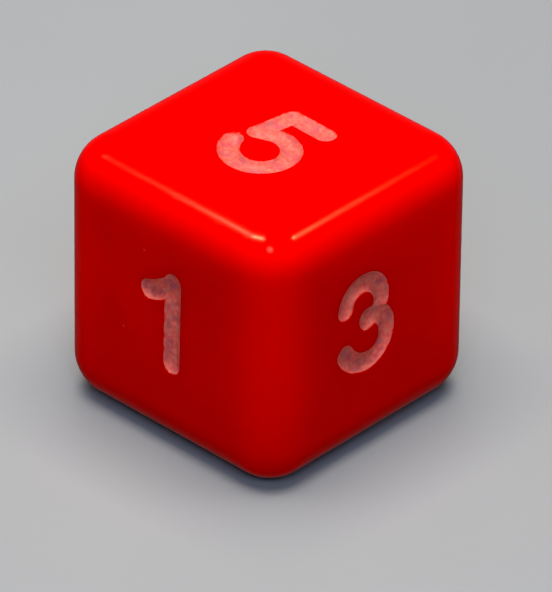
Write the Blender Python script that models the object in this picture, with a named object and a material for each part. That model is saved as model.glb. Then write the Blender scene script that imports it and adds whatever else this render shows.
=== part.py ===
"""A six-sided die moulded in one piece, with the numerals 1 to 6 sunk into its faces and filled with paint.

The block is a cube with rounded edges and slightly more rounded corners, centred on the origin. Each numeral
is drawn as a few pen strokes on its face. An engraving point, flat at its tip and wider at the face, is swept
along each stroke: it cuts the groove, and a slightly smaller sweep makes the paint that fills the groove.
"""

import math

import bmesh
import bpy
from mathutils import Matrix, Vector

MM = 0.001

# The block
DIE_SIZE = 16.0 * MM  # across two opposite faces
EDGE_RADIUS = 2.27 * MM
CORNER_RADIUS = 2.58 * MM
CORNER_REACH = 3.9 * MM  # how far from a corner its extra rounding starts along each edge

# The engraving
FIGURE_HEIGHT = 5.1 * MM  # top to bottom of a numeral, measured on the pen's centre line
GROOVE_WIDTH = 1.24 * MM  # at the face
GROOVE_FLOOR_WIDTH = 0.76 * MM
GROOVE_DEPTH = 0.42 * MM
STROKE_GROWTH = 0.01 * MM  # each later stroke of a numeral is cut this much deeper and wider on each side

# The paint
PAINT_SINK = 0.06 * MM  # from the face down to the top of the paint
PAINT_CLEARANCE = 0.025 * MM  # between the paint and the groove's floor and walls

# How finely the curved surfaces are divided
EDGE_STEPS = 6  # facets round a rounded edge
PEN_STEP = math.radians(15)  # turn of one facet along a curved stroke
PEN_TIP_STEPS = 12  # facets round the half circle at a stroke's end

CUTTER_LIFT = 0.2 * MM  # how far a cutter stands straight up out of the face
MERGE_DISTANCE = 0.0001 * MM
SHARP_ANGLE = math.radians(32)
RING_TURN = math.radians(360)

RED = (0.62, 0.003, 0.004)
PAINT = (0.72, 0.52, 0.50)


def line(length):
    """A straight move of the pen, in figure heights."""
    return length, 0.0


def arc(radius, turn):
    """A curved move of the pen: radius in figure heights, turn in degrees, positive to the left."""
    return radius, math.radians(turn)


# Each numeral is a list of strokes: where the pen starts, its heading in degrees, and its moves.
# Starts are in figure heights from the numeral's own centre, with x to the right and y up.
STROKES = {
    "one": [
        ((0.169, 0.5), -91, [line(1.0)]),
        ((-0.169, 0.286), 12, [arc(0.47, 20), line(0.19)]),
    ],
    "two": [
        ((-0.28, 0.27), 85, [arc(0.225, -85), line(0.05), arc(0.27, -130), line(0.69)]),
        ((-0.235, -0.5), 0, [line(0.52)]),
    ],
    "three": [
        (
            (-0.29, 0.269),
            88,
            [arc(0.225, -88), line(0.03), arc(0.275, -90), arc(0.19, -70), line(0.08)],
        ),
        (
            (0.029, 0.037),
            0,
            [line(0.07), arc(0.225, -90), line(0.03), arc(0.275, -90), arc(0.38, -64)],
        ),
    ],
    "four": [
        ((0.15, 0.5), -90, [line(1.0)]),
        ((0.15, 0.5), -123.7, [line(0.865)]),
        ((-0.33, -0.22), 0, [line(0.69)]),
    ],
    "five": [
        ((-0.173, 0.502), -1, [line(0.475)]),
        ((-0.173, 0.502), -98.5, [line(0.455)]),
        ((-0.241, 0.055), 20, [line(0.17), arc(0.318, -200), arc(0.38, -75)]),
    ],
    "six": [
        ((0.192, 0.448), 195, [arc(0.65, 75)]),
        ((-0.29, -0.18), 270, [arc(0.31, 360)]),
    ],
}

# Each face: the reader's right and up with the numeral upright, then its offset to the right and up
FACES = {
    "one": (Vector((1, 0, 0)), Vector((0, 0, 1)), (-0.14 * MM, 0.20 * MM)),
    "two": (Vector((1, 0, 0)), Vector((0, -1, 0)), (0.0, 0.0)),
    "three": (Vector((0, 1, 0)), Vector((0, 0, 1)), (-0.95 * MM, 0.43 * MM)),
    "four": (Vector((0, -1, 0)), Vector((0, 0, 1)), (0.0, 0.0)),
    "five": (Vector((1, 0, 0)), Vector((0, 1, 0)), (0.51 * MM, -0.36 * MM)),
    "six": (Vector((-1, 0, 0)), Vector((0, 0, 1)), (0.0, 0.0)),
}


def clear_scene():
    for old in list(bpy.data.objects):
        bpy.data.objects.remove(old, do_unlink=True)


def new_collection(name):
    collection = bpy.data.collections.new(name)
    bpy.context.scene.collection.children.link(collection)
    return collection


def plastic(name, colour, roughness):
    material = bpy.data.materials.new(name)
    material.use_nodes = True
    shader = material.node_tree.nodes["Principled BSDF"]
    shader.inputs["Base Color"].default_value = (*colour, 1.0)
    shader.inputs["Roughness"].default_value = roughness
    shader.inputs["Metallic"].default_value = 0.0
    return material


def add_object(name, bm, collection):
    """Turn a finished bmesh into a named object."""
    bmesh.ops.remove_doubles(bm, verts=bm.verts, dist=MERGE_DISTANCE)
    bmesh.ops.recalc_face_normals(bm, faces=bm.faces)
    mesh = bpy.data.meshes.new(name)
    bm.to_mesh(mesh)
    bm.free()
    piece = bpy.data.objects.new(name, mesh)
    collection.objects.link(piece)
    return piece


def make_cutter(piece):
    piece.hide_render = True
    piece.display_type = "WIRE"


def add_boolean(piece, other, operation):
    modifier = piece.modifiers.new(f"{operation.lower()} {other.name}", "BOOLEAN")
    modifier.operation = operation
    modifier.object = other
    modifier.solver = "EXACT"
    modifier.use_self = True  # a wide pen may run into its own stroke


def face_matrix(figure):
    """Place of a numeral: origin at the numeral's centre on the face, X right, Y up, Z out of the face."""
    right, up, (offset_right, offset_up) = FACES[figure]
    outward = right.cross(up)
    centre = outward * DIE_SIZE / 2 + right * offset_right + up * offset_up
    turn = Matrix((right, up, outward)).transposed()
    return Matrix.Translation(centre) @ turn.to_4x4()


def round_corners_further(bm):
    """Let the rounding grow from the edge radius to the corner radius as it nears each corner."""
    half = DIE_SIZE / 2
    flat_limit = half - EDGE_RADIUS
    corner_start = half - CORNER_REACH
    corner_full = half - CORNER_RADIUS
    for vertex in bm.verts:
        core = Vector([max(-flat_limit, min(flat_limit, value)) for value in vertex.co])
        outward = (vertex.co - core) / EDGE_RADIUS
        nearness = (min(abs(value) for value in vertex.co) - corner_start) / (corner_full - corner_start)
        radius = EDGE_RADIUS + (CORNER_RADIUS - EDGE_RADIUS) * max(0.0, min(1.0, nearness))
        for axis, value in enumerate(vertex.co):
            if abs(value) > flat_limit - MERGE_DISTANCE:
                vertex.co[axis] = math.copysign(half - radius, value) + radius * outward[axis]


def make_block():
    """The rounded block before engraving."""
    bm = bmesh.new()
    bmesh.ops.create_cube(bm, size=DIE_SIZE)
    for normal in (Vector((1, 0, 0)), Vector((0, 1, 0)), Vector((0, 0, 1))):
        for side in (-1, 1):
            bmesh.ops.bisect_plane(
                bm,
                geom=bm.verts[:] + bm.edges[:] + bm.faces[:],
                plane_co=normal * side * (DIE_SIZE / 2 - CORNER_REACH),
                plane_no=normal,
            )
    sharp_edges = [edge for edge in bm.edges if edge.calc_face_angle() > SHARP_ANGLE]
    bmesh.ops.bevel(
        bm,
        geom=sharp_edges,
        offset=EDGE_RADIUS,
        segments=EDGE_STEPS,
        profile=0.5,
        affect="EDGES",
        material=-1,
    )
    round_corners_further(bm)
    return bm


def wall_slope():
    """How far a groove's wall leans out for each step up."""
    return (GROOVE_WIDTH - GROOVE_FLOOR_WIDTH) / 2 / GROOVE_DEPTH


def wall_offset(z, growth):
    """Half the groove's width at height z, where the face is at zero."""
    return GROOVE_WIDTH / 2 + growth + wall_slope() * z


def groove_section(growth):
    """Half the engraving point's outline from its floor up, as (distance from its axis, height)."""
    floor_z = -GROOVE_DEPTH - growth
    floor_edge = wall_offset(floor_z, growth)
    rim = wall_offset(0.0, growth)
    return [(0.0, floor_z), (floor_edge, floor_z), (rim, 0.0), (rim, CUTTER_LIFT), (0.0, CUTTER_LIFT)]


def paint_section(growth):
    """The groove's outline drawn in by the clearance and cut off below the face."""
    floor_z = -GROOVE_DEPTH - growth + PAINT_CLEARANCE
    top_z = -PAINT_SINK
    side_clearance = PAINT_CLEARANCE * math.hypot(1, wall_slope())
    floor_edge = wall_offset(floor_z, growth) - side_clearance
    top_edge = wall_offset(top_z, growth) - side_clearance
    return [(0.0, floor_z), (floor_edge, floor_z), (top_edge, top_z), (0.0, top_z)]


def spin_about(bm, edges, centre, turn, steps):
    """Sweep edges about an upright axis through centre, and return the edges at the far end."""
    result = bmesh.ops.spin(
        bm,
        geom=edges,
        cent=centre,
        axis=(0, 0, 1),
        angle=turn,
        steps=steps,
        use_duplicate=False,
    )
    return [item for item in result["geom_last"] if isinstance(item, bmesh.types.BMEdge)]


def push_along(bm, edges, step):
    """Sweep edges straight by step, and return the edges at the far end."""
    result = bmesh.ops.extrude_edge_only(bm, edges=edges)
    moved = [item for item in result["geom"] if isinstance(item, bmesh.types.BMVert)]
    bmesh.ops.translate(bm, verts=moved, vec=step)
    return [item for item in result["geom"] if isinstance(item, bmesh.types.BMEdge)
            and all(vertex in moved for vertex in item.verts)]


def section_edges(bm, section, position, heading, side):
    """The section as a chain of edges on the left (side 1) or right (side -1) of the pen."""
    across = Vector((-math.sin(heading), math.cos(heading), 0)) * side
    points = [bm.verts.new(position + across * offset + Vector((0, 0, z))) for offset, z in section]
    return [bm.edges.new(pair) for pair in zip(points, points[1:])]


def round_end(bm, section, position, heading, side):
    """Close a stroke with half a turn of the section, starting from one side."""
    edges = section_edges(bm, section, position, heading, side)
    spin_about(bm, edges, position, math.pi, PEN_TIP_STEPS)


def sweep_stroke(section, stroke):
    """One closed solid: the section swept along a stroke, with round ends unless the stroke is a ring."""
    (start_x, start_y), heading_degrees, moves = stroke
    bm = bmesh.new()
    position = Vector((start_x, start_y, 0)) * FIGURE_HEIGHT
    heading = math.radians(heading_degrees)
    is_ring = abs(moves[0][1]) >= RING_TURN
    if not is_ring:
        round_end(bm, section, position, heading, 1)
    left_edges = section_edges(bm, section, position, heading, 1)
    right_edges = section_edges(bm, section, position, heading, -1)
    edges = left_edges + right_edges
    for size, turn in moves:
        length = size * FIGURE_HEIGHT
        if turn == 0.0:
            step = Vector((math.cos(heading), math.sin(heading), 0)) * length
            edges = push_along(bm, edges, step)
            position = position + step
        else:
            to_centre = Vector((-math.sin(heading), math.cos(heading), 0)) * math.copysign(length, turn)
            centre = position + to_centre
            edges = spin_about(bm, edges, centre, turn, max(1, round(abs(turn) / PEN_STEP)))
            position = centre - Matrix.Rotation(turn, 3, "Z") @ to_centre
            heading += turn
    if not is_ring:
        round_end(bm, section, position, heading, -1)
    return bm


def make_figure(figure, label, section_at, collection):
    """The swept solids of one numeral, each placed on its face."""
    pieces = []
    for number, stroke in enumerate(STROKES[figure]):
        section = section_at(number * STROKE_GROWTH)
        piece = add_object(f"{label}_{figure}_stroke_{number + 1}", sweep_stroke(section, stroke), collection)
        piece.matrix_world = face_matrix(figure)
        make_cutter(piece)
        pieces.append(piece)
    return pieces


def make_die_body(parts, cutters):
    body = add_object("die_body", make_block(), parts)
    for figure in STROKES:
        for cutter in make_figure(figure, "groove", groove_section, cutters):
            add_boolean(body, cutter, "DIFFERENCE")
    body.data.shade_smooth()
    body.data.set_sharp_from_angle(angle=SHARP_ANGLE)
    body.data.materials.append(plastic("moulded_red", RED, 0.22))
    return body


def make_paint(figure, parts, cutters):
    """The paint in one groove: its first stroke joined with the others."""
    first, *others = make_figure(figure, "paint", paint_section, cutters)
    cutters.objects.unlink(first)
    parts.objects.link(first)
    first.name = f"paint_{figure}"
    first.hide_render = False
    first.display_type = "TEXTURED"
    for other in others:
        add_boolean(first, other, "UNION")
    first.data.materials.append(plastic(f"paint_{figure}", PAINT, 0.6))
    return first


def main():
    clear_scene()
    parts = new_collection("numbered_die")
    cutters = new_collection("cutters")
    make_die_body(parts, cutters)
    for figure in STROKES:
        make_paint(figure, parts, cutters)


main()
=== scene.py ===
"""Looks of a numbered die: a moulded red block with six sunk, painted numerals, and a studio."""

import math

import bmesh
import bpy
from bpy.props import FloatProperty, FloatVectorProperty, IntProperty, PointerProperty
from mathutils import Matrix, Vector


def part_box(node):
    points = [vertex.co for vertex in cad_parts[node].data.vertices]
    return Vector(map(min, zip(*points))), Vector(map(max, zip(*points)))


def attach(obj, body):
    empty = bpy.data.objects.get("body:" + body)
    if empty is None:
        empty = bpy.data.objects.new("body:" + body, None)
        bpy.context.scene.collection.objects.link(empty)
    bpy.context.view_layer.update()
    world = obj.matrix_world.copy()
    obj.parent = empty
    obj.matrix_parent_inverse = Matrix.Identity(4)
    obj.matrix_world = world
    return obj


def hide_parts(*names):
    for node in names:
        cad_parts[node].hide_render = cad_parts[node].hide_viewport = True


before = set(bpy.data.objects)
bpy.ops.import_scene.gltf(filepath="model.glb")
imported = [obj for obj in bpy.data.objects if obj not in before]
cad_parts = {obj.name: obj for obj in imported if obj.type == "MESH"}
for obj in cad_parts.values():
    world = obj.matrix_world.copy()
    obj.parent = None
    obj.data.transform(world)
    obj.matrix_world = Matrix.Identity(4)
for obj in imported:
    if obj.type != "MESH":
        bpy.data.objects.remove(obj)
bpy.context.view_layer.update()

bl_info = {
    "name": "Numbered Die",
    "version": (1, 0, 0),
    "blender": (4, 5, 0),
    "location": "View3D > Sidebar > Die",
    "description": "Moulds a rounded die, engraves and paints its numerals, and sets up a studio",
    "category": "Object",
}

MM = 0.001
BLOCK_NODE = "die_body"
PLASTIC_SLOT = "moulded_red"
PAINT_SLOT = "numeral_paint"
MERGE_DISTANCE = 0.00005 * MM
FULL_TURN = 2 * math.pi
SMOOTH_ANGLE = math.radians(35)
FLAT_ANGLE = math.radians(0.01)
SECTION_STEP = math.radians(10)
HOLLOW_STEP = math.radians(5)
LIP_EXIT_ANGLE = math.radians(8)
LIP_EXIT_LENGTH = 0.03 * MM
CUTTER_LIFT = 0.1 * MM
CORNER_RINGS = 5
NODE_SPACING = 180
AXES = (Vector((1, 0, 0)), Vector((0, 1, 0)), Vector((0, 0, 1)))

BLOCK_LOW, BLOCK_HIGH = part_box(BLOCK_NODE)
HALF_SIZE = (BLOCK_HIGH.x - BLOCK_LOW.x) / 2
BLOCK_CENTRE = (BLOCK_LOW + BLOCK_HIGH) / 2

# Where the gloss lamps aim: just inside the upper corner nearest the camera
NEAR_CORNER = BLOCK_CENTRE + Vector((0.86, -0.86, 0.94)) * HALF_SIZE

# Each numeral's face: the reader's right and up when the numeral stands upright
SIDES = {
    "one": (Vector((1, 0, 0)), Vector((0, 0, 1))),
    "two": (Vector((1, 0, 0)), Vector((0, -1, 0))),
    "three": (Vector((0, 1, 0)), Vector((0, 0, 1))),
    "four": (Vector((0, -1, 0)), Vector((0, 0, 1))),
    "five": (Vector((1, 0, 0)), Vector((0, 1, 0))),
    "six": (Vector((-1, 0, 0)), Vector((0, 0, 1))),
}


def line(length):
    """A straight move of the pen."""
    return length, 0.0


def arc(radius, turn):
    """A curved move of the pen: turn in degrees, positive to the left."""
    return radius, math.radians(turn)


# Each numeral's strokes: where the pen starts, its heading in degrees, and its moves, in figure heights
STROKES = {
    "one": [
        ((0.169, 0.5), -91, [line(1.0)]),
        ((-0.169, 0.286), 12, [arc(0.47, 20), line(0.19)]),
    ],
    "two": [
        ((-0.28, 0.27), 85, [arc(0.225, -85), line(0.05), arc(0.27, -130), line(0.69)]),
        ((-0.235, -0.5), 0, [line(0.52)]),
    ],
    "three": [
        (
            (-0.29, 0.269),
            88,
            [arc(0.225, -88), line(0.03), arc(0.275, -90), arc(0.19, -70), line(0.08)],
        ),
        (
            (0.029, 0.037),
            0,
            [line(0.07), arc(0.225, -90), line(0.03), arc(0.275, -90), arc(0.38, -64)],
        ),
    ],
    "four": [
        ((0.15, 0.5), -90, [line(1.0)]),
        ((0.15, 0.5), -123.7, [line(0.865)]),
        ((-0.33, -0.22), 0, [line(0.69)]),
    ],
    "five": [
        ((-0.173, 0.502), -1, [line(0.475)]),
        ((-0.173, 0.502), -98.5, [line(0.455)]),
        ((-0.241, 0.055), 20, [line(0.17), arc(0.318, -200), arc(0.38, -75)]),
    ],
    "six": [
        ((0.192, 0.448), 195, [arc(0.65, 75)]),
        ((-0.29, -0.18), 270, [arc(0.31, 360)]),
    ],
}


# Patterns in the plastic: repeats per metre, then how each mask is shaped
PLASTIC_CLOUDS = {"Scale": 160.0, "Detail": 4.0, "Low": 0.35, "High": 0.7}
PLASTIC_DUST = {"Scale": 700.0, "Size": 0.14, "Share": 0.08}
PLASTIC_SCRATCHES = {"Scale": 90.0, "Turn": (0.4, 0.7, 0.3), "Threshold": 0.66}
PLASTIC_WAVES = {"Scale": 120.0, "Detail": 1.0, "Low": 0.2, "High": 0.8}
PLASTIC_GRAIN = {"Scale": 2500.0, "Detail": 2.0, "Low": 0.2, "High": 0.8}

# Patterns in the paint, given in the same way
PAINT_MOTTLE = {"Scale": 4200.0, "Detail": 4.0, "Low": 0.34, "High": 0.66}
PAINT_PLUM = {"Scale": 1300.0, "Detail": 4.0, "Low": 0.45, "High": 0.62}
PAINT_GRIME = {"Scale": 2400.0, "Detail": 5.0, "Low": 0.55, "High": 0.66}
PAINT_SPECKS = {"Scale": 6000.0, "Size": 0.5, "Share": 0.2}
PAINT_LUMPS = {"Scale": 2600.0, "Detail": 4.0, "Low": 0.3, "High": 0.7}
PAINT_CHIPS = {"Scale": 2000.0, "Detail": 3.0, "Low": 0.44, "High": 0.58}

HAIRLINE_STRETCH = (1.0, 40.0, 40.0)
HAIRLINE_SOFTNESS = 0.06

# Where masks that follow the block's shape start and are full, in half sizes from its middle
# UPPER_PART sets the painted shade towards the foot; together with ROUNDED_EDGE it also sets the painted
# highlight on the upper edges
UPPER_PART = {"Start": -1.1, "Full": 0.2}
ROUNDED_EDGE = {"Start": 0.45, "Full": 0.92}
# Painted highlight: the paint turns paler towards the face
PAINT_RIM_HIGHLIGHT = {"Start": 0.975, "Full": 0.992}
PAINT_RIM = {"Start": 0.983, "Full": 0.9935}

PLASTIC_ROUGHNESS = 0.15
PAINT_ROUGHNESS = 0.5

FLOOR_RADIUS = 1500 * MM
FLOOR_GAP = 0.01 * MM
FLOOR_CLOUDS = {"Scale": 25.0, "Detail": 3.0, "Low": 0.3, "High": 0.7}
FLOOR_GRAIN = {"Scale": 1500.0, "Detail": 2.0, "Low": 0.2, "High": 0.8}
FLOOR_VARIATION = 1.06

WHITE = (1.0, 1.0, 1.0)
COOL_WHITE = (0.72, 1.09, 1.62)
WARM_WHITE = (1.0, 0.8, 0.55)
ORANGE_WHITE = (1.0, 0.8, 0.4)
BLACK_LEVEL = 0.005
SENSOR_WIDTH = 36.0

# Each lamp: the way to it from its target, its distance, its width and length, and its colour
LAMPS = {
    "top_softbox": ((0.0, 0.0, 1.0), 400 * MM, (300 * MM, 300 * MM), WHITE),
    "front_softbox": ((0.7, -0.72, 0.95), 600 * MM, (250 * MM, 250 * MM), COOL_WHITE),
    "spot": ((0.364, -0.511, 0.779), 320 * MM, (60 * MM, 60 * MM), WHITE),
    "left_tube": ((-0.34, -0.38, 0.86), 150 * MM, (80 * MM, 3 * MM), WARM_WHITE),
    "right_tube": ((0.418, 0.53, 0.664), 150 * MM, (3 * MM, 10 * MM), ORANGE_WHITE),
}


def length_property(name, description, metres):
    return FloatProperty(
        name=name, description=description, default=metres, min=0.0, unit="LENGTH", precision=5
    )


def angle_property(name, description, degrees):
    return FloatProperty(
        name=name, description=description, default=math.radians(degrees), subtype="ANGLE"
    )


def power_property(name, description, watts):
    return FloatProperty(name=name, description=description, default=watts, min=0.0, unit="POWER")


def colour_property(name, description, colour):
    return FloatVectorProperty(
        name=name, description=description, default=colour, size=3, min=0.0, max=1.0, subtype="COLOR"
    )


class BlockShape(bpy.types.PropertyGroup):
    """Sizes of the moulded block."""

    edge_radius: length_property("Edge radius", "Radius of the rounded edges", 2.27 * MM)
    corner_radius: length_property("Corner radius", "Radius of the rounded corners", 2.58 * MM)
    corner_reach: length_property("Corner reach", "How far from a corner its own rounding starts", 3.9 * MM)
    edge_steps: IntProperty(name="Edge steps", description="Facets round an edge", default=24, min=4)


class NumeralShape(bpy.types.PropertyGroup):
    """Sizes of the engraving and of the paint in it."""

    figure_height: length_property("Figure height", "Height of a numeral's pen line", 5.1 * MM)
    groove_width: length_property("Groove width", "Width of a groove at the face", 1.24 * MM)
    floor_width: length_property("Floor width", "Width of a groove at its floor", 0.76 * MM)
    groove_depth: length_property("Groove depth", "Depth of a groove", 0.42 * MM)
    stroke_growth: length_property("Stroke growth", "Extra half width of each later stroke", 0.005 * MM)
    stroke_deepening: length_property("Stroke deepening", "Extra depth of each later stroke", 0.045 * MM)
    lip_radius: length_property("Lip radius", "Rounding where a groove meets the face", 0.05 * MM)
    floor_radius: length_property("Floor radius", "Rounding between a groove's wall and floor", 0.16 * MM)
    paint_gap: length_property("Paint gap", "Gap between the paint and the plastic", 0.003 * MM)
    paint_thickness: length_property("Paint thickness", "Width of the paint's upper edge", 0.02 * MM)
    paint_sag: length_property("Paint sag", "How far the paint sags between its edges", 0.28 * MM)
    paint_sink: length_property("Paint sink", "From the face down to the paint's edge", 0.05 * MM)
    pen_step: angle_property("Pen step", "Turn of one facet along a curve", 5.0)


class DieFinish(bpy.types.PropertyGroup):
    """Colours of the plastic and the paint, among them painted shade and painted highlights."""

    plastic: colour_property("Plastic", "Main colour of the plastic", (0.745, 0.0004, 0.0006))
    # Darker red for the random clouds, and also painted shade that darkens the block towards its foot
    plastic_clouds_and_foot_shade: colour_property("Deep plastic", "Darker clouds and foot", (0.60, 0.0002, 0.0004))
    # Painted highlight: a lighter red laid on the rounded upper edges
    plastic_edge_highlight: colour_property("Edge plastic", "Rounded upper edges", (0.86, 0.0005, 0.0007))
    plastic_dust: colour_property("Dust", "Specks of dust on the plastic", (0.82, 0.045, 0.03))
    paint: colour_property("Paint", "Main colour of the numerals", (0.76, 0.077, 0.054))
    # Pale mottling, and also the painted highlight along the paint's upper edges
    paint_chalk_and_rim_highlight: colour_property("Chalky paint", "Pale mottling and edges of the paint", (0.81, 0.147, 0.102))
    paint_plum: colour_property("Plum paint", "Darker patches in the paint", (0.46, 0.065, 0.08))
    paint_grime: colour_property("Grime", "Dirt in the paint", (0.34, 0.16, 0.12))


class StudioSetup(bpy.types.PropertyGroup):
    """The camera, the lights and the floor."""

    azimuth: angle_property("Azimuth", "Camera direction round the die", 43.295)
    elevation: angle_property("Elevation", "Camera height as an angle", 33.766)
    roll: angle_property("Roll", "Turn of the camera about its view", 0.707)
    distance: length_property("Distance", "From the die's centre back to the camera", 480 * MM)
    camera_right: length_property("Camera right", "Camera's step to the right of the die", 0.438 * MM)
    camera_down: length_property("Camera down", "Camera's step down from the die", 1.767 * MM)
    focal_length: FloatProperty(
        name="Focal length", description="Focal length of the lens", default=550.8, min=1.0, unit="CAMERA"
    )
    floor_colour: colour_property("Floor", "Colour of the floor", (0.276, 0.268, 0.256))
    world_light: FloatProperty(
        name="World light", description="Strength of the even light", default=0.06, min=0.0
    )
    top_power: power_property("Top light", "Power of the overhead softbox", 2.8)
    front_power: power_property("Front light", "Power of the front softbox", 1.25)
    spot_power: power_property("Spot light", "Power of the small lamp", 0.14)
    left_power: power_property("Left tube", "Power of the left tube", 0.235)
    right_power: power_property("Right tube", "Power of the right tube", 0.052)


# ---------------------------------------------------------------- geometry


def add_piece(name, bm):
    """Turn a finished bmesh into an object."""
    bmesh.ops.remove_doubles(bm, verts=bm.verts, dist=MERGE_DISTANCE)
    bmesh.ops.recalc_face_normals(bm, faces=bm.faces)
    mesh = bpy.data.meshes.new(name)
    bm.to_mesh(mesh)
    bm.free()
    piece = bpy.data.objects.new(name, mesh)
    bpy.context.scene.collection.objects.link(piece)
    return piece


def remove_piece(piece):
    """Delete an object and its mesh."""
    mesh = piece.data
    bpy.data.objects.remove(piece)
    bpy.data.meshes.remove(mesh)


def combine(piece, others, operation):
    """Cut or join a piece with others, which are then removed."""
    operands = bpy.data.collections.new("operands")
    for other in others:
        operands.objects.link(other)
    modifier = piece.modifiers.new(operation, "BOOLEAN")
    modifier.operation = operation
    modifier.operand_type = "COLLECTION"
    modifier.collection = operands
    modifier.solver = "EXACT"
    modifier.use_self = True
    bpy.context.view_layer.update()
    evaluated = piece.evaluated_get(bpy.context.evaluated_depsgraph_get())
    mesh = bpy.data.meshes.new_from_object(evaluated)
    piece.modifiers.clear()
    old_mesh = piece.data
    piece.data = mesh
    bpy.data.meshes.remove(old_mesh)
    for other in others:
        remove_piece(other)
    bpy.data.collections.remove(operands)
    if not mesh.polygons:
        raise RuntimeError(f"nothing is left of {piece.name}")


def finish_piece(piece, node, material):
    """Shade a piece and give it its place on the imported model."""
    piece.data.shade_smooth()
    piece.data.set_sharp_from_angle(angle=SMOOTH_ANGLE)
    weighting = piece.modifiers.new("even shading", "WEIGHTED_NORMAL")
    weighting.keep_sharp = True
    weighting.weight = 100
    piece.data.materials.clear()
    piece.data.materials.append(material)
    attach(piece, "root")
    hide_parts(node)


def round_corners_further(bm, shape):
    """Let the rounding grow from the edge radius to the corner radius as it nears each corner."""
    flat_limit = HALF_SIZE - shape.edge_radius
    corner_start = HALF_SIZE - shape.corner_reach
    corner_full = HALF_SIZE - shape.corner_radius
    for vertex in bm.verts:
        core = Vector([max(-flat_limit, min(flat_limit, value)) for value in vertex.co])
        outward = (vertex.co - core) / shape.edge_radius
        nearness = (min(abs(value) for value in vertex.co) - corner_start) / (corner_full - corner_start)
        blend = max(0.0, min(1.0, nearness))
        smooth_blend = blend * blend * (3 - 2 * blend)
        radius = shape.edge_radius + (shape.corner_radius - shape.edge_radius) * smooth_blend
        for axis, value in enumerate(vertex.co):
            if abs(value) > flat_limit - MERGE_DISTANCE:
                vertex.co[axis] = math.copysign(HALF_SIZE - radius, value) + radius * outward[axis]


def make_block(shape):
    """The rounded block before engraving, with rings of points for the rounding of its corners."""
    bm = bmesh.new()
    bmesh.ops.create_cube(bm, size=2 * HALF_SIZE)
    corner_start = HALF_SIZE - shape.corner_reach
    corner_full = HALF_SIZE - shape.corner_radius
    for normal in AXES:
        for ring in range(CORNER_RINGS):
            distance = corner_start + (corner_full - corner_start) * ring / CORNER_RINGS
            for side in (-1, 1):
                bmesh.ops.bisect_plane(
                    bm,
                    geom=bm.verts[:] + bm.edges[:] + bm.faces[:],
                    plane_co=normal * side * distance,
                    plane_no=normal,
                )
    sharp_edges = [edge for edge in bm.edges if edge.calc_face_angle() > SMOOTH_ANGLE]
    bmesh.ops.bevel(
        bm,
        geom=sharp_edges,
        offset=shape.edge_radius,
        segments=shape.edge_steps,
        profile=0.5,
        affect="EDGES",
        material=-1,
    )
    round_corners_further(bm, shape)
    flat_edges = [edge for edge in bm.edges if edge.calc_face_angle() < FLAT_ANGLE]
    bmesh.ops.dissolve_edges(bm, edges=flat_edges, use_verts=True)
    bmesh.ops.translate(bm, verts=bm.verts, vec=BLOCK_CENTRE)
    return bm


def trace(start, heading, moves, step):
    """Points along a path of moves: (length, 0) goes straight and (radius, turn) curves."""
    points = [Vector(start)]
    for size, turn in moves:
        across = Vector((-math.sin(heading), math.cos(heading)))
        if turn == 0.0:
            points.append(points[-1] + Vector((math.cos(heading), math.sin(heading))) * size)
            continue
        to_centre = across * math.copysign(size, turn)
        centre = points[-1] + to_centre
        count = max(1, round(abs(turn) / step))
        for part in range(1, count + 1):
            points.append(centre - Matrix.Rotation(turn * part / count, 2) @ to_centre)
        heading += turn
    return points


def wall_angle(shape):
    """How steeply a groove's wall rises from its floor."""
    return math.atan2(shape.groove_depth, (shape.groove_width - shape.floor_width) / 2)


def groove_section(shape, number):
    """Half the cutter's outline from its floor up: distances from its axis and heights above the face."""
    growth = number * shape.stroke_growth
    depth = shape.groove_depth + number * shape.stroke_deepening
    rise = wall_angle(shape)
    floor_setback = shape.floor_radius * math.tan(rise / 2)
    lip_setback = shape.lip_radius * math.tan(rise / 2)
    half_floor = shape.groove_width / 2 + growth - depth / math.tan(rise)
    moves = [
        line(half_floor - floor_setback),
        (shape.floor_radius, rise),
        line(depth / math.sin(rise) - floor_setback - lip_setback),
        (shape.lip_radius, LIP_EXIT_ANGLE - rise),
        line(LIP_EXIT_LENGTH),
    ]
    return close_section(trace((0.0, -depth), 0.0, moves, SECTION_STEP), growth)


def coat_section(shape, number):
    """Outside of the paint: the groove's outline drawn in by the gap, its walls carried up to the face."""
    growth = number * shape.stroke_growth
    depth = shape.groove_depth + number * shape.stroke_deepening
    rise = wall_angle(shape)
    inset = shape.paint_gap
    radius = shape.floor_radius - inset
    setback = radius * math.tan(rise / 2)
    half_floor = shape.groove_width / 2 + growth - depth / math.tan(rise) - inset * math.tan(rise / 2)
    wall_length = (depth - inset) / math.sin(rise) - setback
    moves = [line(half_floor - setback), (radius, rise), line(wall_length)]
    return close_section(trace((0.0, inset - depth), 0.0, moves, SECTION_STEP), growth)


def trough_section(shape, number):
    """The hollow over the paint, whose surface sags to the middle of the groove in one shallow curve."""
    growth = number * shape.stroke_growth
    edge_inset = shape.paint_sink / math.tan(wall_angle(shape)) + shape.paint_thickness
    half_width = shape.groove_width / 2 - edge_inset + growth
    rise = shape.paint_sag + number * shape.stroke_deepening
    radius = (rise**2 + half_width**2) / (2 * rise)
    turn = math.asin(half_width / radius)
    moves = [(radius, turn), line(2 * shape.paint_sink)]
    return close_section(trace((0.0, -shape.paint_sink - rise), 0.0, moves, HOLLOW_STEP), growth)


def close_section(points, growth):
    """Carry an outline straight up above the face and in to the axis."""
    lift = CUTTER_LIFT + growth
    return points + [Vector((points[-1].x, lift)), Vector((0.0, lift))]


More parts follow.
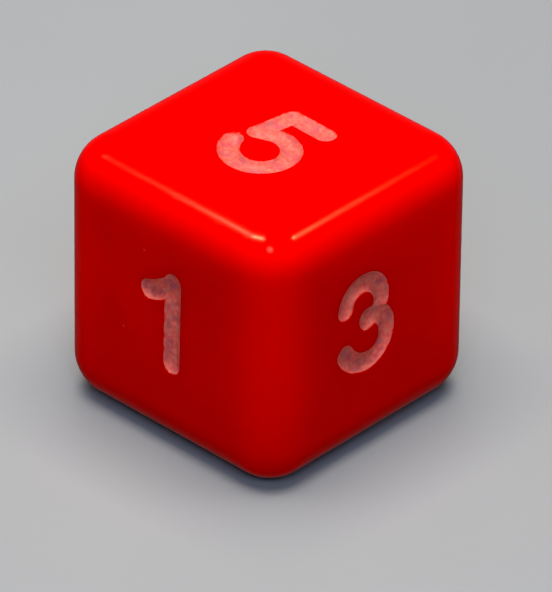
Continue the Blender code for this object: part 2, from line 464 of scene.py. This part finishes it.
def make_slab(figure, shape):
    """The space above the upper edge of a numeral's paint."""
    bm = bmesh.new()
    bmesh.ops.create_cube(bm, size=2 * shape.figure_height)
    middle = figure_middle(figure, shape)
    lift = Vector((0, 0, shape.figure_height - shape.paint_sink))
    bmesh.ops.translate(bm, verts=bm.verts, vec=middle + lift)
    bmesh.ops.transform(bm, matrix=figure_matrix(figure, shape), verts=bm.verts)
    return add_piece(f"slab_{figure}", bm)


def section_edges(bm, section, position, heading, side):
    """The section as a chain of edges on the left (side 1) or right (side -1) of the pen."""
    across = Vector((-math.sin(heading), math.cos(heading), 0)) * side
    points = [bm.verts.new(position + across * offset + Vector((0, 0, z))) for offset, z in section]
    return [bm.edges.new(pair) for pair in zip(points, points[1:])]


def spin_about(bm, edges, centre, turn, steps):
    """Sweep edges about an upright axis through centre, and return the edges at the far end."""
    result = bmesh.ops.spin(
        bm,
        geom=edges,
        cent=centre,
        axis=(0, 0, 1),
        angle=turn,
        steps=steps,
        use_merge=abs(turn) >= FULL_TURN,
        use_duplicate=False,
    )
    return [item for item in result["geom_last"] if isinstance(item, bmesh.types.BMEdge)]


def push_along(bm, edges, step):
    """Sweep edges straight by step, and return the edges at the far end."""
    result = bmesh.ops.extrude_edge_only(bm, edges=edges)
    moved = [item for item in result["geom"] if isinstance(item, bmesh.types.BMVert)]
    bmesh.ops.translate(bm, verts=moved, vec=step)
    return [
        item
        for item in result["geom"]
        if isinstance(item, bmesh.types.BMEdge) and all(vertex in moved for vertex in item.verts)
    ]


def round_end(bm, section, position, heading, side, pen_step):
    """Close a stroke with half a turn of the section, starting from one side."""
    edges = section_edges(bm, section, position, heading, side)
    spin_about(bm, edges, position, math.pi, round(math.pi / pen_step))


def sweep_stroke(section, stroke, shape):
    """One closed solid: the section swept along a stroke, with round ends unless the stroke is a ring."""
    start, heading_degrees, moves = stroke
    bm = bmesh.new()
    position = Vector((*start, 0)) * shape.figure_height
    heading = math.radians(heading_degrees)
    is_ring = abs(moves[0][1]) >= FULL_TURN
    if not is_ring:
        round_end(bm, section, position, heading, 1, shape.pen_step)
    left_edges = section_edges(bm, section, position, heading, 1)
    right_edges = section_edges(bm, section, position, heading, -1)
    edges = left_edges + right_edges
    for size, turn in moves:
        length = size * shape.figure_height
        if turn == 0.0:
            step = Vector((math.cos(heading), math.sin(heading), 0)) * length
            edges = push_along(bm, edges, step)
            position = position + step
        else:
            to_centre = Vector((-math.sin(heading), math.cos(heading), 0)) * math.copysign(length, turn)
            centre = position + to_centre
            edges = spin_about(bm, edges, centre, turn, max(1, round(abs(turn) / shape.pen_step)))
            position = centre - Matrix.Rotation(turn, 3, "Z") @ to_centre
            heading += turn
    if not is_ring:
        round_end(bm, section, position, heading, -1, shape.pen_step)
    return bm


def figure_middle(figure, shape):
    """Middle of the box round a numeral's strokes, in its own plane."""
    points = [
        point
        for start, heading, moves in STROKES[figure]
        for point in trace(start, math.radians(heading), moves, shape.pen_step)
    ]
    xs = [point.x for point in points]
    ys = [point.y for point in points]
    return Vector((min(xs) + max(xs), min(ys) + max(ys), 0)) / 2 * shape.figure_height


def figure_matrix(figure, shape):
    """Place of a numeral on its face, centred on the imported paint: X right, Y up, Z out of the face."""
    right, up = SIDES[figure]
    outward = right.cross(up)
    low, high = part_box(f"paint_{figure}")
    middle = (low + high) / 2
    on_face = middle + outward * (HALF_SIZE - (middle - BLOCK_CENTRE).dot(outward))
    turn = Matrix((right, up, outward)).transposed().to_4x4()
    return Matrix.Translation(on_face) @ turn @ Matrix.Translation(-figure_middle(figure, shape))


def make_figure(figure, label, section_at, shape):
    """The swept solids of one numeral, each placed on its face."""
    place = figure_matrix(figure, shape)
    pieces = []
    for number, stroke in enumerate(STROKES[figure]):
        bm = sweep_stroke(section_at(number), stroke, shape)
        bmesh.ops.transform(bm, matrix=place, verts=bm.verts)
        pieces.append(add_piece(f"{label}_{figure}_{number + 1}", bm))
    return pieces


# ---------------------------------------------------------------- materials


def new_material(name):
    """A material with its node tree and its Principled BSDF."""
    material = bpy.data.materials.new(name)
    material.use_nodes = True
    return material, material.node_tree, material.node_tree.nodes["Principled BSDF"]


def add_node(tree, kind, place, **settings):
    """Place a node and set its properties."""
    node = tree.nodes.new(kind)
    node.location = place
    for key, value in settings.items():
        setattr(node, key, value)
    return node


def set_inputs(node, **values):
    """Set a node's sockets by name, with underscores for spaces."""
    for name, value in values.items():
        node.inputs[name.replace("_", " ")].default_value = value


def add_math(tree, place, operation, first, second):
    """Result of a maths operation on two sockets."""
    node = add_node(tree, "ShaderNodeMath", place, operation=operation)
    tree.links.new(first, node.inputs[0])
    tree.links.new(second, node.inputs[1])
    return node.outputs["Value"]


def new_group(name, **values):
    """A shader node group that makes a mask from coordinates and named values, with its two end nodes."""
    group = bpy.data.node_groups.new(name, "ShaderNodeTree")
    group.interface.new_socket(name="Vector", in_out="INPUT", socket_type="NodeSocketVector")
    for socket_name, value in values.items():
        kind = "NodeSocketVector" if isinstance(value, tuple) else "NodeSocketFloat"
        socket = group.interface.new_socket(name=socket_name, in_out="INPUT", socket_type=kind)
        socket.default_value = value
    group.interface.new_socket(name="Mask", in_out="OUTPUT", socket_type="NodeSocketFloat")
    entry = add_node(group, "NodeGroupInput", (-900, 0))
    leave = add_node(group, "NodeGroupOutput", (700, 0))
    return group, entry, leave


def cloud_group():
    """Soft uneven patches: a mask from 0 to 1."""
    name = "soft_clouds"
    if name in bpy.data.node_groups:
        return bpy.data.node_groups[name]
    group, entry, leave = new_group(name, Scale=300.0, Detail=3.0, Low=0.4, High=0.6)
    noise = add_node(group, "ShaderNodeTexNoise", (-600, 0))
    shaped = add_node(group, "ShaderNodeMapRange", (-200, 0), interpolation_type="SMOOTHSTEP")
    group.links.new(entry.outputs["Vector"], noise.inputs["Vector"])
    group.links.new(entry.outputs["Scale"], noise.inputs["Scale"])
    group.links.new(entry.outputs["Detail"], noise.inputs["Detail"])
    group.links.new(noise.outputs["Fac"], shaped.inputs["Value"])
    group.links.new(entry.outputs["Low"], shaped.inputs["From Min"])
    group.links.new(entry.outputs["High"], shaped.inputs["From Max"])
    group.links.new(shaped.outputs["Result"], leave.inputs["Mask"])
    return group


def speck_group():
    """Small round specks thinned out by noise: a mask from 0 to 1."""
    name = "fine_specks"
    if name in bpy.data.node_groups:
        return bpy.data.node_groups[name]
    group, entry, leave = new_group(name, Scale=900.0, Size=0.2, Share=0.2)
    cells = add_node(group, "ShaderNodeTexVoronoi", (-600, 100), feature="F1")
    split = add_node(group, "ShaderNodeSeparateColor", (-450, -100))
    dot = add_node(group, "ShaderNodeMapRange", (-300, 100), interpolation_type="SMOOTHSTEP")
    set_inputs(dot, From_Min=0.0, To_Min=1.0, To_Max=0.0)
    group.links.new(entry.outputs["Vector"], cells.inputs["Vector"])
    group.links.new(entry.outputs["Scale"], cells.inputs["Scale"])
    group.links.new(cells.outputs["Color"], split.inputs["Color"])
    group.links.new(cells.outputs["Distance"], dot.inputs["Value"])
    group.links.new(entry.outputs["Size"], dot.inputs["From Max"])
    picked = add_math(group, (-300, -100), "LESS_THAN", split.outputs["Red"], entry.outputs["Share"])
    both = add_math(group, (0, 0), "MULTIPLY", dot.outputs["Result"], picked)
    group.links.new(both, leave.inputs["Mask"])
    return group


def hairline_group():
    """Fine scratches running one way: a mask from 0 to 1."""
    name = "hairlines"
    if name in bpy.data.node_groups:
        return bpy.data.node_groups[name]
    group, entry, leave = new_group(name, Turn=(0.0, 0.0, 0.0), Scale=150.0, Threshold=0.72)
    turned = add_node(group, "ShaderNodeVectorRotate", (-700, 0), rotation_type="EULER_XYZ")
    stretched = add_node(group, "ShaderNodeVectorMath", (-500, 0), operation="MULTIPLY")
    stretched.inputs[1].default_value = HAIRLINE_STRETCH
    noise = add_node(group, "ShaderNodeTexNoise", (-300, 0))
    set_inputs(noise, Detail=1.0)
    shaped = add_node(group, "ShaderNodeMapRange", (0, 0), interpolation_type="SMOOTHSTEP")
    upper = add_node(group, "ShaderNodeMath", (-200, -200), operation="ADD")
    upper.inputs[1].default_value = HAIRLINE_SOFTNESS
    group.links.new(entry.outputs["Vector"], turned.inputs["Vector"])
    group.links.new(entry.outputs["Turn"], turned.inputs["Rotation"])
    group.links.new(turned.outputs["Vector"], stretched.inputs[0])
    group.links.new(stretched.outputs["Vector"], noise.inputs["Vector"])
    group.links.new(entry.outputs["Scale"], noise.inputs["Scale"])
    group.links.new(noise.outputs["Fac"], shaped.inputs["Value"])
    group.links.new(entry.outputs["Threshold"], shaped.inputs["From Min"])
    group.links.new(entry.outputs["Threshold"], upper.inputs[0])
    group.links.new(upper.outputs["Value"], shaped.inputs["From Max"])
    group.links.new(shaped.outputs["Result"], leave.inputs["Mask"])
    return group


def block_position(group, entry):
    """A point's place along X, Y and Z from the block's middle, in half sizes."""
    centred = add_node(group, "ShaderNodeVectorMath", (-800, 0), operation="SUBTRACT")
    centred.inputs[1].default_value = BLOCK_CENTRE
    scaled = add_node(group, "ShaderNodeVectorMath", (-650, 0), operation="SCALE")
    set_inputs(scaled, Scale=1 / HALF_SIZE)
    group.links.new(entry.outputs["Vector"], centred.inputs[0])
    group.links.new(centred.outputs["Vector"], scaled.inputs[0])
    return scaled.outputs["Vector"]


def split_position(group, position, folded):
    """The three parts of a position, made positive where it is folded."""
    split = add_node(group, "ShaderNodeSeparateXYZ", (-350, 0))
    if folded:
        positive = add_node(group, "ShaderNodeVectorMath", (-500, 0), operation="ABSOLUTE")
        group.links.new(position, positive.inputs[0])
        position = positive.outputs["Vector"]
    group.links.new(position, split.inputs["Vector"])
    return split.outputs


def shape_mask(group, entry, leave, value):
    """Turn a value into the group's mask, from 0 at its Start to 1 at its Full."""
    shaped = add_node(group, "ShaderNodeMapRange", (300, 0), interpolation_type="SMOOTHSTEP")
    group.links.new(value, shaped.inputs["Value"])
    group.links.new(entry.outputs["Start"], shaped.inputs["From Min"])
    group.links.new(entry.outputs["Full"], shaped.inputs["From Max"])
    group.links.new(shaped.outputs["Result"], leave.inputs["Mask"])
    return group


def edge_group():
    """How near a point of the block is to an edge: a mask from 0 on the flats to 1 on the rounding."""
    name = "near_edge"
    if name in bpy.data.node_groups:
        return bpy.data.node_groups[name]
    group, entry, leave = new_group(name, Start=0.0, Full=1.0)
    x, y, z = split_position(group, block_position(group, entry), folded=True)
    smaller = add_math(group, (-200, 150), "MINIMUM", x, y)
    larger = add_math(group, (-200, -50), "MAXIMUM", x, y)
    smaller_of_rest = add_math(group, (-50, -150), "MINIMUM", larger, z)
    middle = add_math(group, (100, 50), "MAXIMUM", smaller, smaller_of_rest)
    return shape_mask(group, entry, leave, middle)


def height_group():
    """How high a point is on the block: a mask that grows from its foot to its top."""
    name = "height_on_block"
    if name in bpy.data.node_groups:
        return bpy.data.node_groups[name]
    group, entry, leave = new_group(name, Start=-1.0, Full=1.0)
    height = split_position(group, block_position(group, entry), folded=False)["Z"]
    return shape_mask(group, entry, leave, height)


def face_group():
    """How near a point in a groove is to the face: a mask that grows towards the face."""
    name = "near_face"
    if name in bpy.data.node_groups:
        return bpy.data.node_groups[name]
    group, entry, leave = new_group(name, Start=0.0, Full=1.0)
    x, y, z = split_position(group, block_position(group, entry), folded=True)
    larger = add_math(group, (-200, 0), "MAXIMUM", x, y)
    largest = add_math(group, (0, 0), "MAXIMUM", larger, z)
    return shape_mask(group, entry, leave, largest)


def add_group(tree, group, place, vector, **values):
    """Place a group in a material, fed with coordinates and its own values, and give its mask."""
    node = add_node(tree, "ShaderNodeGroup", place, node_tree=group)
    tree.links.new(vector, node.inputs["Vector"])
    set_inputs(node, **values)
    return node.outputs["Mask"]


def mix_colours(tree, place, factor, first, second, amount=1.0):
    """Colour that goes from first to second with a mask, as far as amount."""
    scaled = add_node(tree, "ShaderNodeMath", (place[0] - NODE_SPACING, place[1]), operation="MULTIPLY")
    tree.links.new(factor, scaled.inputs[0])
    scaled.inputs[1].default_value = amount
    node = add_node(tree, "ShaderNodeMix", place, data_type="RGBA")
    tree.links.new(scaled.outputs["Value"], node.inputs["Factor"])
    # Inputs 6 and 7 and output 2 are the colour ones: by name they can't be told from the node's number ones
    for socket, value in zip((node.inputs[6], node.inputs[7]), (first, second)):
        if isinstance(value, bpy.types.NodeSocket):
            tree.links.new(value, socket)
        else:
            socket.default_value = (*value, 1.0)
    return node.outputs[2]


def add_scaled(tree, place, base, terms):
    """A number plus several masks, each times its own amount."""
    total = None
    for index, (mask, amount) in enumerate(terms):
        node_place = (place[0], place[1] - NODE_SPACING * index)
        node = add_node(tree, "ShaderNodeMath", node_place, operation="MULTIPLY_ADD")
        tree.links.new(mask, node.inputs[0])
        node.inputs[1].default_value = amount
        if total is None:
            node.inputs[2].default_value = base
        else:
            tree.links.new(total, node.inputs[2])
        total = node.outputs["Value"]
    return total


def add_bump(tree, place, height, strength, distance, normal=None):
    """Normal of a surface that a mask raises, over an earlier bump where one is given."""
    node = add_node(tree, "ShaderNodeBump", place)
    set_inputs(node, Strength=strength, Distance=distance)
    tree.links.new(height, node.inputs["Height"])
    if normal is not None:
        tree.links.new(normal, node.inputs["Normal"])
    return node.outputs["Normal"]


def moulded_plastic(finish):
    """Opaque glossy red plastic with faint clouds, dust, hairlines and the slight waviness of a moulding,
    with painted shade towards its foot and a painted highlight on its rounded upper edges.
    """
    material, tree, shader = new_material(PLASTIC_SLOT)
    where = add_node(tree, "ShaderNodeTexCoord", (-1500, 0)).outputs["Object"]
    height = add_group(tree, height_group(), (-1200, 800), where, **UPPER_PART)
    rounding = add_group(tree, edge_group(), (-1200, 600), where, **ROUNDED_EDGE)
    clouds = add_group(tree, cloud_group(), (-1200, 400), where, **PLASTIC_CLOUDS)
    dust = add_group(tree, speck_group(), (-1200, 200), where, **PLASTIC_DUST)
    scratches = add_group(tree, hairline_group(), (-1200, 0), where, **PLASTIC_SCRATCHES)
    waves = add_group(tree, cloud_group(), (-1200, -200), where, **PLASTIC_WAVES)
    grain = add_group(tree, cloud_group(), (-1200, -400), where, **PLASTIC_GRAIN)
    # Painted highlight: where the rounded edges are high on the block
    painted_edge_highlight_mask = add_math(tree, (-950, 700), "MULTIPLY", rounding, height)

    # Painted shade: the plastic turns darker towards the block's foot
    colour = mix_colours(tree, (-950, 500), height, finish.plastic_clouds_and_foot_shade, finish.plastic)
    colour = mix_colours(tree, (-850, 400), clouds, colour, finish.plastic_clouds_and_foot_shade, amount=0.5)
    # Painted highlight: the rounded upper edges are made lighter
    colour = mix_colours(tree, (-750, 500), painted_edge_highlight_mask, colour, finish.plastic_edge_highlight)
    colour = mix_colours(tree, (-500, 400), dust, colour, finish.plastic_dust, amount=0.5)
    tree.links.new(colour, shader.inputs["Base Color"])

    wear = [(clouds, 0.03), (dust, 0.2), (scratches, 0.08)]
    roughness = add_scaled(tree, (-700, 100), PLASTIC_ROUGHNESS, wear)
    tree.links.new(roughness, shader.inputs["Roughness"])

    normal = add_bump(tree, (-600, -200), waves, strength=0.35, distance=0.02 * MM)
    normal = add_bump(tree, (-400, -200), grain, strength=0.25, distance=0.0015 * MM, normal=normal)
    normal = add_bump(tree, (-200, -200), scratches, strength=0.2, distance=-0.003 * MM, normal=normal)
    tree.links.new(normal, shader.inputs["Normal"])

    set_inputs(shader, IOR=1.5, Specular_IOR_Level=0.25, Specular_Tint=(1.0, 0.5, 0.35, 1.0))
    set_inputs(shader, Subsurface_Weight=0.6, Subsurface_Scale=2.0 * MM, Subsurface_Radius=(1.0, 0.1, 0.08))
    return material


def numeral_paint(finish):
    """Matt, mottled paint with a painted highlight along its upper edges, plum patches, dirt and a rim that
    is partly wiped away.
    """
    material, tree, shader = new_material(PAINT_SLOT)
    where = add_node(tree, "ShaderNodeTexCoord", (-1500, 0)).outputs["Object"]
    chips = add_group(tree, cloud_group(), (-1200, 1200), where, **PAINT_CHIPS)
    rim = add_group(tree, face_group(), (-1200, 1000), where, **PAINT_RIM)
    painted_rim_highlight = add_group(tree, face_group(), (-1200, 800), where, **PAINT_RIM_HIGHLIGHT)
    mottle = add_group(tree, cloud_group(), (-1200, 600), where, **PAINT_MOTTLE)
    plum = add_group(tree, cloud_group(), (-1200, 400), where, **PAINT_PLUM)
    grime = add_group(tree, cloud_group(), (-1200, 200), where, **PAINT_GRIME)
    specks = add_group(tree, speck_group(), (-1200, 0), where, **PAINT_SPECKS)
    lumps = add_group(tree, cloud_group(), (-1200, -200), where, **PAINT_LUMPS)
    wiped = add_math(tree, (-1000, 1000), "MULTIPLY", rim, chips)

    colour = mix_colours(tree, (-950, 500), mottle, finish.paint, finish.paint_chalk_and_rim_highlight)
    colour = mix_colours(tree, (-750, 400), plum, colour, finish.paint_plum, amount=0.75)
    colour = mix_colours(tree, (-550, 400), grime, colour, finish.paint_grime, amount=0.3)
    # Painted highlight: the paint turns paler near the face, along its upper edges
    colour = mix_colours(tree, (-400, 600), painted_rim_highlight, colour, finish.paint_chalk_and_rim_highlight, amount=0.75)
    colour = mix_colours(tree, (-250, 400), specks, colour, finish.paint_grime, amount=0.3)
    colour = mix_colours(tree, (-50, 600), wiped, colour, finish.plastic, amount=0.8)
    tree.links.new(colour, shader.inputs["Base Color"])

    roughness = add_scaled(tree, (-700, 100), PAINT_ROUGHNESS, [(plum, -0.1), (grime, 0.15)])
    tree.links.new(roughness, shader.inputs["Roughness"])

    normal = add_bump(tree, (-500, -200), lumps, strength=1.0, distance=0.026 * MM)
    normal = add_bump(tree, (-300, -200), mottle, strength=0.7, distance=0.007 * MM, normal=normal)
    normal = add_bump(tree, (-100, -200), specks, strength=0.4, distance=0.003 * MM, normal=normal)
    tree.links.new(normal, shader.inputs["Normal"])

    set_inputs(shader, Specular_IOR_Level=0.3)
    return material


def floor_material(studio):
    """Plain pale studio board with a hint of unevenness."""
    material, tree, shader = new_material("studio_floor")
    where = add_node(tree, "ShaderNodeTexCoord", (-1300, 0)).outputs["Object"]
    clouds = add_group(tree, cloud_group(), (-1000, 200), where, **FLOOR_CLOUDS)
    grain = add_group(tree, cloud_group(), (-1000, -100), where, **FLOOR_GRAIN)
    lighter = tuple(channel * FLOOR_VARIATION for channel in studio.floor_colour)
    colour = mix_colours(tree, (-500, 200), clouds, studio.floor_colour, lighter)
    normal = add_bump(tree, (-300, -200), grain, strength=0.2, distance=0.01 * MM)
    tree.links.new(colour, shader.inputs["Base Color"])
    tree.links.new(normal, shader.inputs["Normal"])
    set_inputs(shader, Roughness=0.75, Specular_IOR_Level=0.2)
    return material


# ---------------------------------------------------------------- studio


def aim(position, target):
    """Turn that points an object's -Z axis from position to target, with its X axis in the X-Z plane."""
    back = (position - target).normalized()
    right = Vector((0, 1, 0)).cross(back).normalized()
    return Matrix((right, back.cross(right), back)).transposed().to_4x4()


def add_lamp(name, power, target):
    """A rectangular lamp that faces its target and that the camera doesn't see."""
    direction, distance, size, colour = LAMPS[name]
    lamp = bpy.data.lights.new(name, "AREA")
    lamp.shape = "RECTANGLE"
    lamp.size, lamp.size_y = size
    lamp.energy = power
    lamp.color = colour
    holder = bpy.data.objects.new(name, lamp)
    bpy.context.scene.collection.objects.link(holder)
    position = target + Vector(direction).normalized() * distance
    holder.matrix_world = Matrix.Translation(position) @ aim(position, target)
    holder.visible_camera = False
    return holder


def add_camera(studio):
    """Camera on the die, stepped a little right and down, which leaves the die up and left of the middle."""
    azimuth, elevation, roll = studio.azimuth, studio.elevation, studio.roll
    level_right = Vector((math.cos(azimuth), math.sin(azimuth), 0.0))
    level_back = Vector((math.sin(azimuth), -math.cos(azimuth), 0.0))
    back = level_back * math.cos(elevation) + Vector((0.0, 0.0, math.sin(elevation)))
    level_up = back.cross(level_right)
    right = level_right * math.cos(roll) + level_up * math.sin(roll)
    up = level_up * math.cos(roll) - level_right * math.sin(roll)
    data = bpy.data.cameras.new("camera")
    data.lens = studio.focal_length
    data.sensor_width = SENSOR_WIDTH
    data.clip_start = 10 * MM
    data.clip_end = 10000 * MM
    camera = bpy.data.objects.new("camera", data)
    bpy.context.scene.collection.objects.link(camera)
    framing = right * studio.camera_right - up * studio.camera_down
    turn = Matrix((right, up, back)).transposed().to_4x4()
    camera.matrix_world = Matrix.Translation(BLOCK_CENTRE + back * studio.distance + framing) @ turn
    bpy.context.scene.camera = camera
    return camera


def add_floor(studio):
    """Round floor just under the die, kept out of its reflections."""
    bm = bmesh.new()
    bmesh.ops.create_circle(bm, cap_ends=True, segments=96, radius=FLOOR_RADIUS)
    bmesh.ops.translate(bm, verts=bm.verts, vec=(0, 0, BLOCK_LOW.z - FLOOR_GAP))
    floor = add_piece("studio_floor", bm)
    floor.data.materials.append(floor_material(studio))
    floor.visible_glossy = False
    return floor


def set_film(view_settings):
    """Plain colours, with the black level raised a little so that the reds stay pure."""
    view_settings.view_transform = "Standard"
    view_settings.use_curve_mapping = True
    view_settings.curve_mapping.black_level = (BLACK_LEVEL, BLACK_LEVEL, BLACK_LEVEL)
    view_settings.curve_mapping.update()


def light_world(strength):
    """Even white light from all round."""
    world = bpy.data.worlds.new("studio_world")
    world.use_nodes = True
    set_inputs(world.node_tree.nodes["Background"], Color=(*WHITE, 1.0), Strength=strength)
    bpy.context.scene.world = world


# ---------------------------------------------------------------- operators and panel


class MouldBlock(bpy.types.Operator):
    """Mould the rounded block and engrave its six numerals"""

    bl_idname = "die.mould_block"
    bl_label = "Mould Block"

    def execute(self, context):
        scene = context.scene
        shape = scene.die_numerals
        block = add_piece("moulded_block", make_block(scene.die_block))
        cutters = []
        for figure in STROKES:
            cutters += make_figure(figure, "groove", lambda number: groove_section(shape, number), shape)
        combine(block, cutters, "DIFFERENCE")
        finish_piece(block, BLOCK_NODE, moulded_plastic(scene.die_finish))
        return {"FINISHED"}


class PaintNumerals(bpy.types.Operator):
    """Lay a thin coat of paint in each engraved numeral"""

    bl_idname = "die.paint_numerals"
    bl_label = "Paint Numerals"

    def execute(self, context):
        scene = context.scene
        shape = scene.die_numerals
        material = numeral_paint(scene.die_finish)
        for figure in STROKES:
            first, *others = make_figure(figure, "coat", lambda number: coat_section(shape, number), shape)
            if others:
                combine(first, others, "UNION")
            hollows = make_figure(figure, "hollow", lambda number: trough_section(shape, number), shape)
            combine(first, [*hollows, make_slab(figure, shape)], "DIFFERENCE")
            first.name = f"numeral_coat_{figure}"
            finish_piece(first, f"paint_{figure}", material)
        return {"FINISHED"}


class SetStudio(bpy.types.Operator):
    """Set up the floor, the softboxes, the lamps that give only gloss, and the camera"""

    bl_idname = "die.set_studio"
    bl_label = "Set Studio"

    def execute(self, context):
        studio = context.scene.die_studio
        set_film(context.scene.view_settings)
        light_world(studio.world_light)
        add_floor(studio)
        softboxes = {"top_softbox": studio.top_power, "front_softbox": studio.front_power}
        for name, power in softboxes.items():
            add_lamp(name, power, BLOCK_CENTRE).visible_glossy = False
        gloss_lamps = {
            "spot": studio.spot_power,
            "left_tube": studio.left_power,
            "right_tube": studio.right_power,
        }
        for name, power in gloss_lamps.items():
            add_lamp(name, power, NEAR_CORNER).visible_diffuse = False
        add_camera(studio)
        return {"FINISHED"}


class DiePanel(bpy.types.Panel):
    """Lists the steps that make the die, and its settings"""

    bl_idname = "VIEW3D_PT_numbered_die"
    bl_label = "Numbered Die"
    bl_space_type = "VIEW_3D"
    bl_region_type = "UI"
    bl_category = "Die"

    def draw(self, context):
        for operator in OPERATORS:
            self.layout.operator(operator.bl_idname)
        for group_name in SETTINGS:
            group = getattr(context.scene, group_name)
            box = self.layout.box()
            for name in group.bl_rna.properties.keys():
                if name not in ("rna_type", "name"):
                    box.prop(group, name)


OPERATORS = (MouldBlock, PaintNumerals, SetStudio)
SETTINGS = {
    "die_block": BlockShape,
    "die_numerals": NumeralShape,
    "die_finish": DieFinish,
    "die_studio": StudioSetup,
}


def register():
    """Tell Blender about the settings, the operators and the panel."""
    for kind in (*SETTINGS.values(), *OPERATORS, DiePanel):
        bpy.utils.register_class(kind)
    for name, kind in SETTINGS.items():
        setattr(bpy.types.Scene, name, PointerProperty(type=kind))


def unregister():
    """Take them all away again, in reverse."""
    for name in SETTINGS:
        delattr(bpy.types.Scene, name)
    for kind in (DiePanel, *reversed(OPERATORS), *reversed(SETTINGS.values())):
        bpy.utils.unregister_class(kind)


def main():
    """Build the die and its studio."""
    register()
    bpy.ops.die.mould_block()
    bpy.ops.die.paint_numerals()
    bpy.ops.die.set_studio()


if __name__ == "__main__":
    main()
